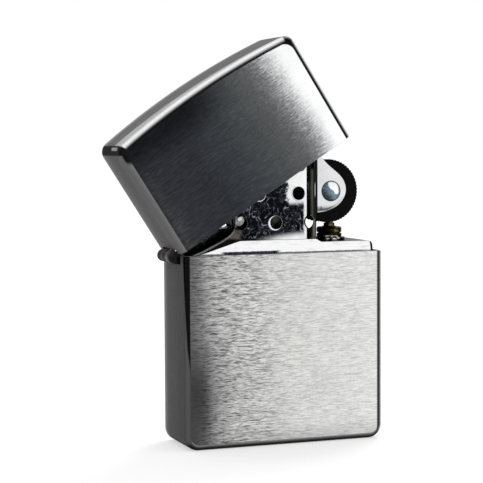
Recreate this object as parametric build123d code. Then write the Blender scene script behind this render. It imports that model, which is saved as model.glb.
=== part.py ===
from build123d import *
import math
import os

# Windproof flip-top petrol lighter, in millimetres.
# Frame: X across the width (hinge at -X), Y through the depth (front face at -Y),
# Z up, origin at the centre of the case's bottom face.  The lid rests part open.

# ---- case and lid ----
CASE_W = 38.1
CASE_D = 12.8
SPLIT_Z = 34.5          # top of the lower case
CLOSED_Z = 57.55        # crown of the shut lid
WALL = 0.6              # sheet thickness
R_EDGE = 1.0            # rounding around the front and rear faces
R_LID = 2.0             # lid corners seen from the front
R_BOTTOM = 2.6          # case bottom corners seen from the front
R_CROWN = 140.0         # crown of the lid top
SPLIT_GAP = 0.06        # gap under the shut lid
LID_ANGLE = 32.6        # lid at rest, from shut
WALL_IN_X = -CASE_W / 2 + WALL   # inner face of the hinge-side wall

# ---- hinge, axis parallel to Y ----
HINGE_X, HINGE_Z = -19.76, 34.16
R_KNUCKLE = 1.12
R_PIN = 0.45
BARREL_Y = 3.8          # half length of the barrel
KNUCKLES = 5
KNUCKLE_GAP = 0.06      # taken off each knuckle end that meets another
LEAF_T = 0.4
RUN_CLR = 0.05          # radial running clearance on pins and rivets
NOTCH_Y = BARREL_Y + 0.12   # half length of the case and lid notches

# ---- tank ----
TANK_X, TANK_Y = 17.8, 5.7   # half width, half depth
TANK_T = 0.4
TANK_Z0 = 1.55          # lower edge
TANK_Z_HIGH = 36.9      # top under the chimney
TANK_Z_LOW = 36.35      # top at the wheel side
TANK_Z_HINGE = 34.05    # top at the hinge side
R_SHOULDER = 1.5        # rounding of the top at the wheel side

# ---- chimney ----
CHIM_Y = 5.3            # outer face
CHIM_T = 0.45
CHIM_X0 = -9.15         # hinge-side edge
BEND_X = 4.5            # where the wall starts to bend in
CHIM_Z = 54.2           # top
R_CHIM = 2.0            # top corner at the hinge side
CROSS_Y = CHIM_Y - 0.2  # half length of the cross walls
EAR_X, EAR_Y = 6.9, 3.6      # start and outer face of the wheel ears
CHEEK_Y0, CHEEK_Y1 = 1.3, 1.7   # inner and outer face of the cam cheeks
R_AIR = 1.2
AIR_ROWS = {40.0: (-7.9, -1.42, 5.45), 45.15: (-4.6, 2.95), 50.3: (-7.4, -1.4, 3.2)}  # z: x

# ---- wheel and cam ----
WHEEL_X, WHEEL_Z = 10.0, 45.4
R_WHEEL = 5.8
WHEEL_Y = 2.6           # half thickness
TEETH = 60
TOOTH_DEPTH = 0.14
R_AXLE = 0.8
CAM_X, CAM_Z = -7.2, 40.3    # cam pivot
R_CAM_PIN = 0.6

# ---- flint tube and wick ----
FLINT_X = 11.15
R_FLINT = 0.72
R_TUBE = 1.25
NUT_Z = 38.75           # top of the nut
WICK_X = -1.4
R_WICK = 1.45
R_WICK_WIRE = 0.2


# ---- helpers ----
def save(shape, name):
    shape.label = name
    export_step(shape, f"parts/{name}.step")


def prism(face_xz, y0, y1):
    """Extrude a face drawn in XZ between two Y values, given in either order."""
    y0, y1 = sorted((y0, y1))
    return Pos(0, y1, 0) * extrude(Plane.XZ * face_xz, amount=y1 - y0)


def polygon(points):
    return make_face(Polyline(*points, close=True))


def lines(*points):
    return [Line(a, b) for a, b in zip(points, points[1:])]


def cyl_y(x, z, r, y0, y1):
    return prism(Pos(x, z) * Circle(r), y0, y1)


def cyl_z(x, r, z0, z1):
    return Pos(x, 0, (z0 + z1) / 2) * Cylinder(r, z1 - z0)


def flint_stack(*steps):
    """Join cylinders on the flint axis, each given as radius, z0, z1."""
    first, *rest = [cyl_z(FLINT_X, *step) for step in steps]
    for cylinder in rest:
        first += cylinder
    return first


def box(x0, x1, y0, y1, z0, z1):
    centre = Pos((x0 + x1) / 2, (y0 + y1) / 2, (z0 + z1) / 2)
    return centre * Box(x1 - x0, y1 - y0, z1 - z0)


def box_mid(x0, x1, half_y, z0, z1):
    return box(x0, x1, -half_y, half_y, z0, z1)


def near(a, b, tol=1e-3):
    return abs(a - b) < tol


def round_face_rims(solid, half_depth, radius, keep_z):
    """Fillet the front and rear outlines where keep_z accepts an edge's centre."""
    rims = [e for y in (-half_depth, half_depth) for e in solid.edges()
            if all(near(v.Y, y, 1e-4) for v in e.vertices()) and keep_z(e.center().Z)]
    return fillet(rims, radius)


def round_uprights(solid, half_x, half_y, radius, min_length=0):
    """Fillet the upright corner edges at the given half width and depth."""
    uprights = [e for e in solid.edges()
                if near(abs(e.center().X), half_x) and near(abs(e.center().Y), half_y)
                and e.length > min_length]
    return fillet(uprights, radius)


def open_lid(shape):
    return shape.rotate(Axis((HINGE_X, 0, HINGE_Z), (0, -1, 0)), LID_ANGLE)


# ---- lower case ----
def case_form(inset, z0, z1):
    w, d = CASE_W / 2 - inset, CASE_D / 2 - inset
    face = polygon([(-w, z0), (w, z0), (w, z1), (-w, z1)])
    # the face lies in XY here, so its Y is the case's Z
    face = fillet([v for v in face.vertices() if v.Y < z0 + 0.1], R_BOTTOM - inset)
    return round_face_rims(prism(face, -d, d), d, R_EDGE - inset, lambda z: z < z1 - 0.01)


def make_case_body():
    body = case_form(0, 0, SPLIT_Z)
    body -= case_form(WALL, WALL + 0.1, SPLIT_Z + 5)
    # notch in the hinge-side wall for the barrel
    body -= box_mid(-CASE_W / 2 - 1, WALL_IN_X + 0.1, NOTCH_Y,
                    HINGE_Z - R_KNUCKLE - 0.08, SPLIT_Z + 1)
    return body


# ---- lid, made shut ----
def lid_form(inset, z0):
    w, d = CASE_W / 2 - inset, CASE_D / 2 - inset
    crown_centre_z = CLOSED_Z - R_CROWN
    r = R_CROWN - inset
    side_z = crown_centre_z + math.sqrt(r * r - w * w)
    face = make_face(Curve() + [
        *lines((-w, z0), (w, z0), (w, side_z)),
        ThreePointArc((w, side_z), (0, crown_centre_z + r), (-w, side_z)),
        Line((-w, side_z), (-w, z0)),
    ])
    face = fillet([v for v in face.vertices() if v.Y > z0 + 1], R_LID - inset)
    return round_face_rims(prism(face, -d, d), d, R_EDGE - inset, lambda z: z > z0 + 0.01)


def make_lid():
    lid = lid_form(0, SPLIT_Z + SPLIT_GAP)
    lid -= lid_form(WALL, SPLIT_Z - 5)
    # notch over the barrel, with rounded top corners
    x0, x1 = HINGE_X - 3, WALL_IN_X + 0.1
    z0, z1 = SPLIT_Z - 1, HINGE_Z + R_KNUCKLE + 0.12
    notch = prism(polygon([(x0, z0), (x1, z0), (x1, z1), (x0, z1)]), -NOTCH_Y, NOTCH_Y)
    corners = [e for e in notch.edges()
               if near(e.center().Z, z1, 1e-4) and near(abs(e.center().Y), NOTCH_Y, 1e-4)]
    return lid - fillet(corners, 0.5)


# ---- hinge ----
def make_leaf(plate_z, tab_z, notch_z, knuckles, bore):
    """Plate on the wall's inner face, with tabs out to the listed knuckles."""
    x1 = WALL_IN_X + LEAF_T
    leaf = box_mid(WALL_IN_X, x1, BARREL_Y, *plate_z)
    pitch = 2 * BARREL_Y / KNUCKLES
    for i in knuckles:
        y0 = -BARREL_Y + i * pitch + (KNUCKLE_GAP if i else 0)
        y1 = -BARREL_Y + (i + 1) * pitch - (KNUCKLE_GAP if i < KNUCKLES - 1 else 0)
        knuckle = cyl_y(HINGE_X, HINGE_Z, R_KNUCKLE, y0, y1)
        hole = cyl_y(HINGE_X, HINGE_Z, bore, y0 - 0.5, y1 + 0.5)
        leaf += box(HINGE_X, x1, y0, y1, *tab_z) + knuckle - hole
    leaf -= box_mid(WALL_IN_X - 0.01, x1 + 0.1, 0.6, *notch_z)
    return leaf


def make_lower_leaf():
    z0 = HINGE_Z - R_KNUCKLE
    z1 = z0 + LEAF_T
    return make_leaf((23.5, z1), (z0, z1), (20, 24.5), (0, 2, 4), R_PIN)


def make_upper_leaf():
    z1 = HINGE_Z + R_KNUCKLE
    z0 = z1 - LEAF_T
    return make_leaf((z0, 44.0), (z0, z1), (43.0, 46), (1, 3), R_PIN + RUN_CLR)


def make_hinge_pin():
    end = BARREL_Y + 0.12
    pin = cyl_y(HINGE_X, HINGE_Z, R_PIN, -end, end)
    for s in (-1, 1):
        pin += cyl_y(HINGE_X, HINGE_Z, R_PIN + 0.2, s * BARREL_Y, s * (BARREL_Y + 0.1))
    return pin


# ---- tank ----
# slope of the tank top, x and z, from the chimney down towards the hinge side
RAMP = [(-8.4, TANK_Z_HIGH), (-9.6, 36.55), (-11.8, 35.85), (-14.9, 34.9), (-17.35, 34.3)]


def tank_profile(inset, z0):
    x = TANK_X - inset
    points = [(-x, z0), (x, z0)]
    r = R_SHOULDER - inset
    for degrees in range(0, 91, 10):
        a = math.radians(degrees)
        points.append((TANK_X - R_SHOULDER + r * math.cos(a),
                       TANK_Z_LOW - R_SHOULDER + r * math.sin(a)))
    shift = inset * 0.4     # sideways shift of the sloping parts
    points += [(7.2 + inset, TANK_Z_LOW - inset), (6.2 + shift, TANK_Z_HIGH - inset)]
    points += [(px + shift, pz - inset) for px, pz in RAMP]
    points.append((-x, TANK_Z_HINGE - inset))
    return polygon(points)


def make_tank(block):
    tank = round_uprights(block, TANK_X, TANK_Y, 1.2, min_length=20)
    x, y = TANK_X - TANK_T, TANK_Y - TANK_T
    hollow = prism(tank_profile(TANK_T, TANK_Z0 - 3), -y, y)
    tank -= round_uprights(hollow, x, y, 0.8, min_length=20)
    tank -= box_mid(-17.1, -6.0, 1.45, 33, 40)     # slot for the cam
    tank -= box_mid(-6.5, 2.5, 3.0, 34, 40)        # throat under the chimney
    tank -= cyl_z(FLINT_X, R_TUBE, 34, 40)         # hole for the flint tube
    return tank


# ---- chimney with the wheel ears and the cam cheeks ----
# x, z seen from the front: concave foot at the hinge side, round ear at the wheel side
FOOT = [(-17.4, 34.5), (-15.8, 35.05), (-13.9, 35.93), (-11.65, 37.05), (-10.15, 37.98),
        (-9.4, 38.82), (CHIM_X0, 39.75)]
EAR = [(8.35, 51.4), (11.0, 48.95), (12.45, 47.4), (12.95, 45.5), (12.4, 43.9),
       (11.05, 42.6), (9.3, 41.85), (7.35, 41.55)]


def chimney_side():
    x, z, r = CHIM_X0, CHIM_Z, R_CHIM
    arc_inset = 0.586       # arc middle, in from the square corner
    return make_face(Curve() + [
        Spline(*FOOT),
        Line(FOOT[-1], (x, z - r)),
        ThreePointArc((x, z - r), (x + arc_inset, z - arc_inset), (x + r, z)),
        *lines((x + r, z), (5.3, z), EAR[0]),
        Spline(*EAR),
        *lines(EAR[-1], (7.15, 41.5), (7.05, 36.0), (-17.4, 33.6), FOOT[0]),
    ])


def wall_plan(s):
    """Wall seen from above, on the side of sign s, stepping in to the ear."""
    out, inn = CHIM_Y, CHIM_Y - CHIM_T
    ear_out, ear_in = EAR_Y, EAR_Y - CHIM_T
    points = [
        (-18, out), (BEND_X, out), (BEND_X + 0.35, out - 0.25),
        (EAR_X - 0.45, ear_out + 0.1), (EAR_X, ear_out), (14, ear_out), (14, ear_in),
        (EAR_X - 0.15, ear_in), (EAR_X - 0.75, ear_in + 0.2),
        (BEND_X + 0.1, inn - 0.2), (BEND_X - 0.15, inn), (-18, inn),
    ]
    return polygon([(x, s * y) for x, y in points])


def cam_cheek(s):
    x0, x1, z0, z1 = -8.2, -5.1, 38.7, 42.2
    cheek = prism(polygon([(x0, z0), (x1, z0), (x1, z1), (x0, z1)]),
                  s * CHEEK_Y0, s * CHEEK_Y1)
    mid_y = (CHEEK_Y0 + CHEEK_Y1) / 2
    return fillet([e for e in cheek.edges()
                   if near(e.center().X, x0, 1e-4) and near(abs(e.center().Y), mid_y)], 1.0)


def make_chimney(tank_block):
    block = prism(chimney_side(), -7, 7)
    rear, front = [(Pos(0, 0, 30) * extrude(wall_plan(s), amount=30, dir=(0, 0, 1))) & block
                   for s in (1, -1)]
    chimney = front + rear
    # bridge above the cam, then the cross wall that holds the cam cheeks
    chimney += box_mid(CHIM_X0, CHIM_X0 + CHIM_T, CROSS_Y, 42.6, CHIM_Z - R_CHIM)
    chimney += box_mid(-5.3, -5.3 + CHIM_T, CROSS_Y, 37.1, 43.4)
    for s in (-1, 1):
        chimney += cam_cheek(s)
    # cross wall between the chimney and the wheel
    chimney += box_mid(4.0, 4.0 + CHIM_T * 0.8, CROSS_Y, 48.5, 53.4)
    for z, row in AIR_ROWS.items():
        for x in row:
            # the last hole of the lower row runs into the bend
            depth = 1.2 if x < 4 else 2.6
            chimney -= cyl_y(x, z, R_AIR, -7, -CHIM_Y + depth)
            chimney -= cyl_y(x, z, R_AIR, CHIM_Y - depth, 7)
    chimney -= cyl_y(WHEEL_X, WHEEL_Z, R_AXLE, -7, 7)
    chimney -= cyl_y(CAM_X, CAM_Z, R_CAM_PIN, -CHEEK_Y1 - 0.05, CHEEK_Y1 + 0.05)
    return chimney - tank_block


# ---- rivets ----
def make_rivet(x, z, r_shank, r_head, face_y, head_h):
    """Shank between the faces at +-face_y, with a spherical cap on each end."""
    rivet = cyl_y(x, z, r_shank, -face_y, face_y)
    r_dome = (r_head ** 2 + head_h ** 2) / (2 * head_h)
    for s in (-1, 1):
        dome = Pos(x, s * (face_y + head_h - r_dome), z) * Sphere(r_dome)
        y0, y1 = sorted((s * face_y, s * (face_y + head_h + 1)))
        rivet += dome & box(x - 4, x + 4, y0, y1, z - 4, z + 4)
    return rivet


# ---- striker wheel ----
def make_wheel():
    def disc(r, y0, y1):
        return cyl_y(WHEEL_X, WHEEL_Z, r, y0, y1)

    # one tooth: fraction of the tooth pitch, radius
    tooth = ((0.0, R_WHEEL - TOOTH_DEPTH), (0.32, R_WHEEL), (0.52, R_WHEEL))
    points = []
    for i in range(TEETH):
        for fraction, r in tooth:
            a = 2 * math.pi * (i + fraction) / TEETH
            points.append((WHEEL_X + r * math.cos(a), WHEEL_Z + r * math.sin(a)))
    wheel = prism(polygon(points), -WHEEL_Y, WHEEL_Y)
    for s in (-1, 1):       # two grooves around the rim
        wheel -= disc(R_WHEEL + 1, s * 1.35, s * 1.55) - disc(R_WHEEL - 0.45, s * 1.3, s * 1.6)
    boss_y = EAR_Y - CHIM_T - 0.06
    wheel += disc(2.0, -boss_y, boss_y)
    return wheel - disc(R_AXLE + RUN_CLR, -5, 5)


# ---- cam and its spring ----
# x, z along the upper and lower edges of the cam
CAM_TOP = [(-8.55, 39.1), (-9.6, 38.98), (-11.2, 38.75), (-13.2, 38.0), (-15.2, 36.95),
           (-16.6, 35.95), (-17.3, 35.3)]
CAM_BOTTOM = [(-17.3, 35.3), (-17.15, 34.85), (-16.5, 34.6), (-14.2, 34.7), (-11.6, 35.6),
              (-9.6, 36.9), (-8.2, 38.2)]
# x, z along one face of the spring, tip first, then the offset dx, dz to its other face
SPRING = [(-14.6, 32.7, 0.12, -0.27), (-12.0, 31.2, 0.13, -0.27), (-8.4, 29.6, 0.02, -0.3),
          (-6.4, 29.9, 0.2, -0.24), (-5.35, 31.5, 0.3, 0.0), (-5.35, 37.0, 0.3, 0.0)]


def make_cam():
    face = make_face(Curve() + [
        Spline(*CAM_TOP), Spline(*CAM_BOTTOM),
        *lines(CAM_BOTTOM[-1], (-6.6, 39.2), (CAM_X, CAM_Z), CAM_TOP[0]),
    ])
    cam = prism(face, -1.2, 1.2) + cyl_y(CAM_X, CAM_Z, 1.6, -1.2, 1.2)
    return cam - cyl_y(CAM_X, CAM_Z, R_CAM_PIN + RUN_CLR, -3, 3)


def make_cam_spring():
    """Leaf from the cross wall down into the tank, curling up under the cam."""
    near_face = [(x, z) for x, z, _, _ in reversed(SPRING)]
    far_face = [(x + dx, z + dz) for x, z, dx, dz in SPRING]
    face = make_face(Curve() + [
        Spline(*near_face), Line(near_face[-1], far_face[0]),
        Spline(*far_face), Line(far_face[-1], near_face[0]),
    ])
    return prism(face, -1.1, 1.1)


# ---- flint tube and what it holds ----
def make_flint_tube():
    tube = flint_stack((R_TUBE, 3.2, 38.9), (1.0, 38.9, 39.45))
    return tube - cyl_z(FLINT_X, R_FLINT + 0.06, 0, 45)


def make_nut(chimney):
    flange_z = TANK_Z_LOW + 0.5
    nut = flint_stack((2.9, TANK_Z_LOW, flange_z), (2.3, flange_z, NUT_Z))
    nut = fillet([e for e in nut.edges() if e.center().Z > NUT_Z - 0.05], 0.35)
    # groove around the nut
    nut -= cyl_z(FLINT_X, 2.6, 37.55, 37.75) - cyl_z(FLINT_X, 2.05, 37.5, 37.8)
    nut -= cyl_z(FLINT_X, R_TUBE, 30, 45)
    return nut - chimney


def make_flint_spring():
    helix = Helix(pitch=1.15, height=26.6, radius=0.52)
    wire = Plane(origin=helix @ 0, z_dir=helix % 0) * Circle(0.13)
    return Pos(FLINT_X, 0, 7.1) * sweep(wire, path=helix)


def make_flint_screw():
    head_z = 2.3            # upper face of the head
    screw = flint_stack((2.5, 1.15, head_z), (1.25, head_z, 3.15), (R_FLINT, 3.15, 6.9))
    screw -= box_mid(FLINT_X - 3, FLINT_X + 3, 0.3, 0.9, 1.7)   # driver slot
    return fillet([e for e in screw.edges()
                   if near(e.center().Z, head_z) and e.length > 12], 0.25)


# ---- wick, packing and pad: soft pieces as plain solids ----
def make_cotton_ball(i):
    height = 5.6
    z0 = 5.0 + i * (height + 0.1)
    x0 = -16.6 if i < 4 else -3.9      # the top one is short
    ball = box_mid(x0, 9.3, 4.7, z0, z0 + height)
    ball = fillet(ball.edges(), 2.2)
    ball -= cyl_z(WICK_X, R_WICK + 0.02, 0, 60)
    return max(ball.solids(), key=lambda solid: solid.volume)


def make_felt_pad():
    x, y = 16.9, 4.9
    pad = round_uprights(box_mid(-x, x, y, 1.6, 4.7), x, y, 1.5)
    return pad - cyl_z(FLINT_X, 2.7, 0, 10)


# ---- build and write the pieces ----
os.makedirs("parts", exist_ok=True)

save(make_case_body(), "case_body")
save(open_lid(make_lid()), "case_lid")
save(make_lower_leaf(), "hinge_leaf_lower")
save(open_lid(make_upper_leaf()), "hinge_leaf_upper")
save(make_hinge_pin(), "hinge_pin")

tank_block = prism(tank_profile(0, TANK_Z0), -TANK_Y, TANK_Y)
save(make_tank(tank_block), "tank_shell")
chimney = make_chimney(tank_block)
save(chimney, "chimney")

save(make_rivet(WHEEL_X, WHEEL_Z, R_AXLE, r_head=1.9, face_y=EAR_Y, head_h=0.55),
     "wheel_rivet")
save(make_rivet(CAM_X, CAM_Z, R_CAM_PIN, r_head=1.05, face_y=CHEEK_Y1, head_h=0.4),
     "cam_rivet")
save(make_wheel(), "striker_wheel")
save(make_cam(), "cam_lever")
save(make_cam_spring(), "cam_spring")

save(make_flint_tube(), "flint_tube")
save(make_nut(chimney), "flint_tube_nut")
save(cyl_z(FLINT_X, R_FLINT, 35.6, 39.55), "flint")
save(flint_stack((0.7, 33.9, 35.55), (0.35, 32.4, 33.9)), "flint_pusher")
save(make_flint_spring(), "flint_spring")
save(make_flint_screw(), "flint_screw")

save(cyl_z(WICK_X, R_WICK, 9.0, 47.2) - cyl_z(WICK_X, R_WICK_WIRE, 0, 60), "wick")
save(cyl_z(WICK_X, R_WICK_WIRE, 8.7, 47.6), "wick_wire")
for i in range(5):
    save(make_cotton_ball(i), f"cotton_ball_{i + 1}")
save(make_felt_pad(), "felt_pad")
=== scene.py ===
"""A pocket lighter with a hinged lid, standing on its base with the lid partly open.

X runs across the width with the hinge at -X, the front looks towards -Y and the base is at z = 0.
Dimensions are in millimetres and become metres when meshes are made.
"""
import math
from types import SimpleNamespace
import bpy
import bmesh
import numpy as np
from mathutils import Matrix, Vector


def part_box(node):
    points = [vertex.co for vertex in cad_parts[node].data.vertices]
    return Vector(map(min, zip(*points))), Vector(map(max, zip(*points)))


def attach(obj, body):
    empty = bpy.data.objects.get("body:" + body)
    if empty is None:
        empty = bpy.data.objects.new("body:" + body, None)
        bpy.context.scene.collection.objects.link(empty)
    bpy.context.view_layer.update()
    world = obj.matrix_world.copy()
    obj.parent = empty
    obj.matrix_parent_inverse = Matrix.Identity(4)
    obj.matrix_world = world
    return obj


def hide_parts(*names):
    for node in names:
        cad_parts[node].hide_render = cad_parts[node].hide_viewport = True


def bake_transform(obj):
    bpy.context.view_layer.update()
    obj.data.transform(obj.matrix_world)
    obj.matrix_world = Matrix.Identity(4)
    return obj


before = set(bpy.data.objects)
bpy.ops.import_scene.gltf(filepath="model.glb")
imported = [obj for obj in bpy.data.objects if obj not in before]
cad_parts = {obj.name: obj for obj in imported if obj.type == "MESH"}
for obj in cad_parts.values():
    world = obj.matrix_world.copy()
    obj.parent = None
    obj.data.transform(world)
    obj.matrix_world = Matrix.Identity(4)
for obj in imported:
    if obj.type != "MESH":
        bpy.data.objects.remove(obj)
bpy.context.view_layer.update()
MM = 0.001

# ---------------------------------------------------------------- driving dimensions
WIDTH, DEPTH, HEIGHT = 38.1, 12.8, 57.55
CASE_TOP = 34.5
LID_GAP = 0.06
WALL = 0.6
EDGE_R = 1.0           # rounding from the broad faces to the sides
CORNER_R = 2.0         # upper corners of the lid
BOTTOM_R = 2.6         # lower corners of the case
CROWN_R = 140.0        # arched top of the lid
HINGE_X, HINGE_Z = -19.76, 34.16
LID_ANGLE = math.radians(32.6)
KNUCKLE_HALF, KNUCKLE_R = 3.8, 1.12
WHEEL_X, WHEEL_Z, WHEEL_R = 10.0, 45.4, 5.8
WHEEL_RIVET_R = 1.9
CAM_PIN_X, CAM_PIN_Z, CAM_PIN_R = -7.12, 40.3, 1.02
WICK_X = -1.4
FLINT_X = 11.15


# ---------------------------------------------------------------- mesh helpers
def add_mesh(name, verts, faces, materials=(), smooth=True):
    mesh = bpy.data.meshes.new(name)
    mesh.from_pydata([tuple(c * MM for c in v) for v in verts], [], faces)
    mesh.update()
    obj = bpy.data.objects.new(name, mesh)
    bpy.context.scene.collection.objects.link(obj)
    for poly in mesh.polygons:
        poly.use_smooth = smooth
    for material in materials:
        mesh.materials.append(material)
    return obj


def fix_normals(obj):
    bm = bmesh.new()
    bm.from_mesh(obj.data)
    bmesh.ops.remove_doubles(bm, verts=bm.verts, dist=1e-7)
    bmesh.ops.recalc_face_normals(bm, faces=bm.faces)
    bm.to_mesh(obj.data)
    bm.free()


def finish_edges(obj, width=0.07, angle=50, segments=2):
    """Break the sharp edges and weight the normals towards the large faces."""
    bevel = obj.modifiers.new("edge", "BEVEL")
    bevel.width = width * MM
    bevel.segments = segments
    bevel.limit_method = "ANGLE"
    bevel.angle_limit = math.radians(angle)
    bevel.use_clamp_overlap = True
    weighted = obj.modifiers.new("wn", "WEIGHTED_NORMAL")
    weighted.keep_sharp = True
    weighted.weight = 60


def register(obj, body, slot, node=None):
    """Hide the node that an object replaces and attach the object to the body it moves with. The slot
    is not used.
    """
    if node:
        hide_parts(node)
    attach(obj, body)


def section(centre, axis_a, axis_b, half_a, half_b, sides):
    """Points of an ellipse round a centre, as one section of a tube."""
    points = []
    for j in range(sides):
        angle = 2 * math.pi * j / sides
        offset = axis_a * (half_a * math.cos(angle)) + axis_b * (half_b * math.sin(angle))
        points.append(tuple(centre + offset))
    return points


def tube_faces(start, segments, sides):
    """Faces of a capped tube whose sections begin at vertex `start`."""
    faces = []
    for i in range(segments):
        here, there = start + i * sides, start + (i + 1) * sides
        for j in range(sides):
            k = (j + 1) % sides
            faces.append((here + j, here + k, there + k, there + j))
    faces.append(tuple(start + j for j in reversed(range(sides))))
    faces.append(tuple(start + segments * sides + j for j in range(sides)))
    return faces


# ---------------------------------------------------------------- shader helpers
class Signal:
    """An output of a shader node. Arithmetic on it adds math nodes to its graph."""

    def __init__(self, graph, socket):
        self.graph = graph
        self.socket = socket

    def math(self, operation, *others, clamp=False):
        return self.graph.math(operation, self, *others, clamp=clamp)

    def __add__(self, other):
        return self.math("ADD", other)

    def __sub__(self, other):
        return self.math("SUBTRACT", other)

    def __rsub__(self, other):
        return self.graph.math("SUBTRACT", other, self)

    def __mul__(self, other):
        return self.math("MULTIPLY", other)

    def __truediv__(self, other):
        return self.math("DIVIDE", other)

    def __abs__(self):
        return self.math("ABSOLUTE")

    def max(self, other):
        return self.math("MAXIMUM", other)

    def min(self, other):
        return self.math("MINIMUM", other)

    def over(self, limit):
        """1 above the limit, 0 below."""
        return self.math("GREATER_THAN", limit)

    def times(self, factor, plus, clamp=False):
        return self.math("MULTIPLY_ADD", factor, plus, clamp=clamp)

    def fade(self, start, end, to=(0.0, 1.0), kind="SMOOTHSTEP"):
        """Goes smoothly from to[0] at `start` to to[1] at `end`, and stays there beyond."""
        node = self.graph.new("ShaderNodeMapRange", interpolation_type=kind)
        self.graph.put(node.inputs["Value"], self)
        limits = (("From Min", start), ("From Max", end), ("To Min", to[0]), ("To Max", to[1]))
        for key, value in limits:
            node.inputs[key].default_value = value
        return Signal(self.graph, node.outputs["Result"])

    def linear(self, start, end, to=(0.0, 1.0)):
        return self.fade(start, end, to, kind="LINEAR")

    def ramp(self, stops):
        """Colour ramp from (position, grey or RGB) stops."""
        node = self.graph.new("ShaderNodeValToRGB")
        elements = node.color_ramp.elements
        while len(elements) > 1:
            elements.remove(elements[-1])
        for i, (position, color) in enumerate(stops):
            element = elements.new(position) if i else elements[0]
            element.position = position
            element.color = rgba(color)
        self.graph.put(node.inputs[0], self)
        return Signal(self.graph, node.outputs[0])

    def curve(self, start, end, low, span, points):
        """A height over this signal. Points: (share of start..end, height in low..low + span)."""
        stops = [(share, (height - low) / span) for share, height in points]
        return self.linear(start, end).ramp(stops).times(span, plus=low)

    def mapped(self, shift=(0, 0, 0), turn=(0, 0, 0), scale=(1, 1, 1)):
        node = self.graph.new("ShaderNodeMapping")
        node.inputs["Location"].default_value = shift
        node.inputs["Rotation"].default_value = turn
        node.inputs["Scale"].default_value = scale
        self.graph.put(node.inputs["Vector"], self)
        return Signal(self.graph, node.outputs[0])

    def noise(self, scale=1.0, detail=3.0, rough=0.5, warp=0.0, stretch=None, shift=None):
        """Noise over this vector, which is first scaled by `stretch` and moved by `shift`."""
        vector = self
        if stretch or shift:
            vector = self.mapped(shift=shift or (0, 0, 0), scale=stretch or (1, 1, 1))
        node = self.graph.new("ShaderNodeTexNoise")
        node.inputs["Scale"].default_value = scale
        node.inputs["Detail"].default_value = detail
        node.inputs["Roughness"].default_value = rough
        node.inputs["Distortion"].default_value = warp
        self.graph.put(node.inputs["Vector"], vector)
        return Signal(self.graph, node.outputs["Fac"])

    def split(self):
        node = self.graph.new("ShaderNodeSeparateXYZ")
        self.graph.put(node.inputs[0], self)
        return [Signal(self.graph, output) for output in node.outputs]


def rgba(color):
    if isinstance(color, (int, float)):
        color = (color, color, color)
    return (*color, 1)


def length(a, b):
    return (a * a + b * b).math("SQRT")


class Graph:
    """A node tree that is emptied and then built from signals."""

    def __init__(self, tree):
        self.tree = tree
        tree.nodes.clear()

    def new(self, kind, **settings):
        node = self.tree.nodes.new(kind)
        for key, value in settings.items():
            setattr(node, key, value)
        return node

    def put(self, socket, value):
        if isinstance(value, Signal):
            self.tree.links.new(value.socket, socket)
        else:
            socket.default_value = value

    def source(self, kind, output):
        return Signal(self, self.new(kind).outputs[output])

    def math(self, operation, *values, clamp=False):
        node = self.new("ShaderNodeMath", operation=operation, use_clamp=clamp)
        for socket, value in zip(node.inputs, values):
            self.put(socket, value)
        return Signal(self, node.outputs[0])

    def mix(self, mask, color, other, blend="MIX"):
        """`color` where the mask is 0, `other` where it is 1."""
        node = self.new("ShaderNodeMix", data_type="RGBA", blend_type=blend)
        self.put(node.inputs["Factor"], mask)
        for key, value in (("A", color), ("B", other)):
            socket = [s for s in node.inputs if s.name == key and s.type == "RGBA"][0]
            self.put(socket, value if isinstance(value, Signal) else rgba(value))
        return Signal(self, [s for s in node.outputs if s.type == "RGBA"][0])

    def tint(self, color, factor):
        return self.mix(1.0, color, factor, blend="MULTIPLY")

    def combine(self, *parts):
        node = self.new("ShaderNodeCombineXYZ")
        for socket, part in zip(node.inputs, parts):
            self.put(socket, part)
        return Signal(self, node.outputs[0])


TO_MM = (1 / MM,) * 3


class Material(Graph):
    def __init__(self, name):
        self.data = bpy.data.materials.new(name)
        self.data.use_nodes = True
        super().__init__(self.data.node_tree)
        output = self.new("ShaderNodeOutputMaterial")
        self.shader = self.new("ShaderNodeBsdfPrincipled")
        self.tree.links.new(self.shader.outputs[0], output.inputs[0])

    def millimetres(self, shift=(0, 0, 0)):
        """The object coordinates in millimetres."""
        return self.source("ShaderNodeTexCoord", "Object").mapped(shift=shift, scale=TO_MM)

    def surface(self, color, rough, metal=1.0, height=None, bump=0.1, depth=0.04,
                specular=None, sheen=None, glow=None, glow_strength=1.0):
        """Fill in the shader and return the material. The bump's depth is in millimetres."""
        values = {"Base Color": color, "Metallic": metal, "Roughness": rough,
                  "Specular IOR Level": specular, "Sheen Weight": sheen}
        if height is not None:
            node = self.new("ShaderNodeBump")
            node.inputs["Strength"].default_value = bump
            node.inputs["Distance"].default_value = depth * MM
            self.put(node.inputs["Height"], height)
            values["Normal"] = Signal(self, node.outputs[0])
        if glow is not None:
            values["Emission Color"] = glow
            values["Emission Strength"] = glow_strength
        for key, value in values.items():
            if value is not None:
                self.put(self.shader.inputs[key], value)
        return self.data


# ---------------------------------------------------------------- case and lid: broad faces
def shut_lid(vector):
    """Turn a vector of the open lid back into the frame of the shut lid."""
    return vector.mapped(turn=(0, LID_ANGLE, 0))


def shut_lid_point(vector):
    """A point of the open lid, in millimetres, where it lies when the lid is shut."""
    from_hinge = vector.mapped(shift=(-HINGE_X * MM, 0, -HINGE_Z * MM))
    return shut_lid(from_hinge).mapped(shift=(HINGE_X, 0, HINGE_Z), scale=TO_MM)


def across_width(signal, stops):
    """Colour ramp from the hinge side (0) to the far side (1)."""
    return signal.linear(-19.0, 19.0).ramp(stops)


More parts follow.
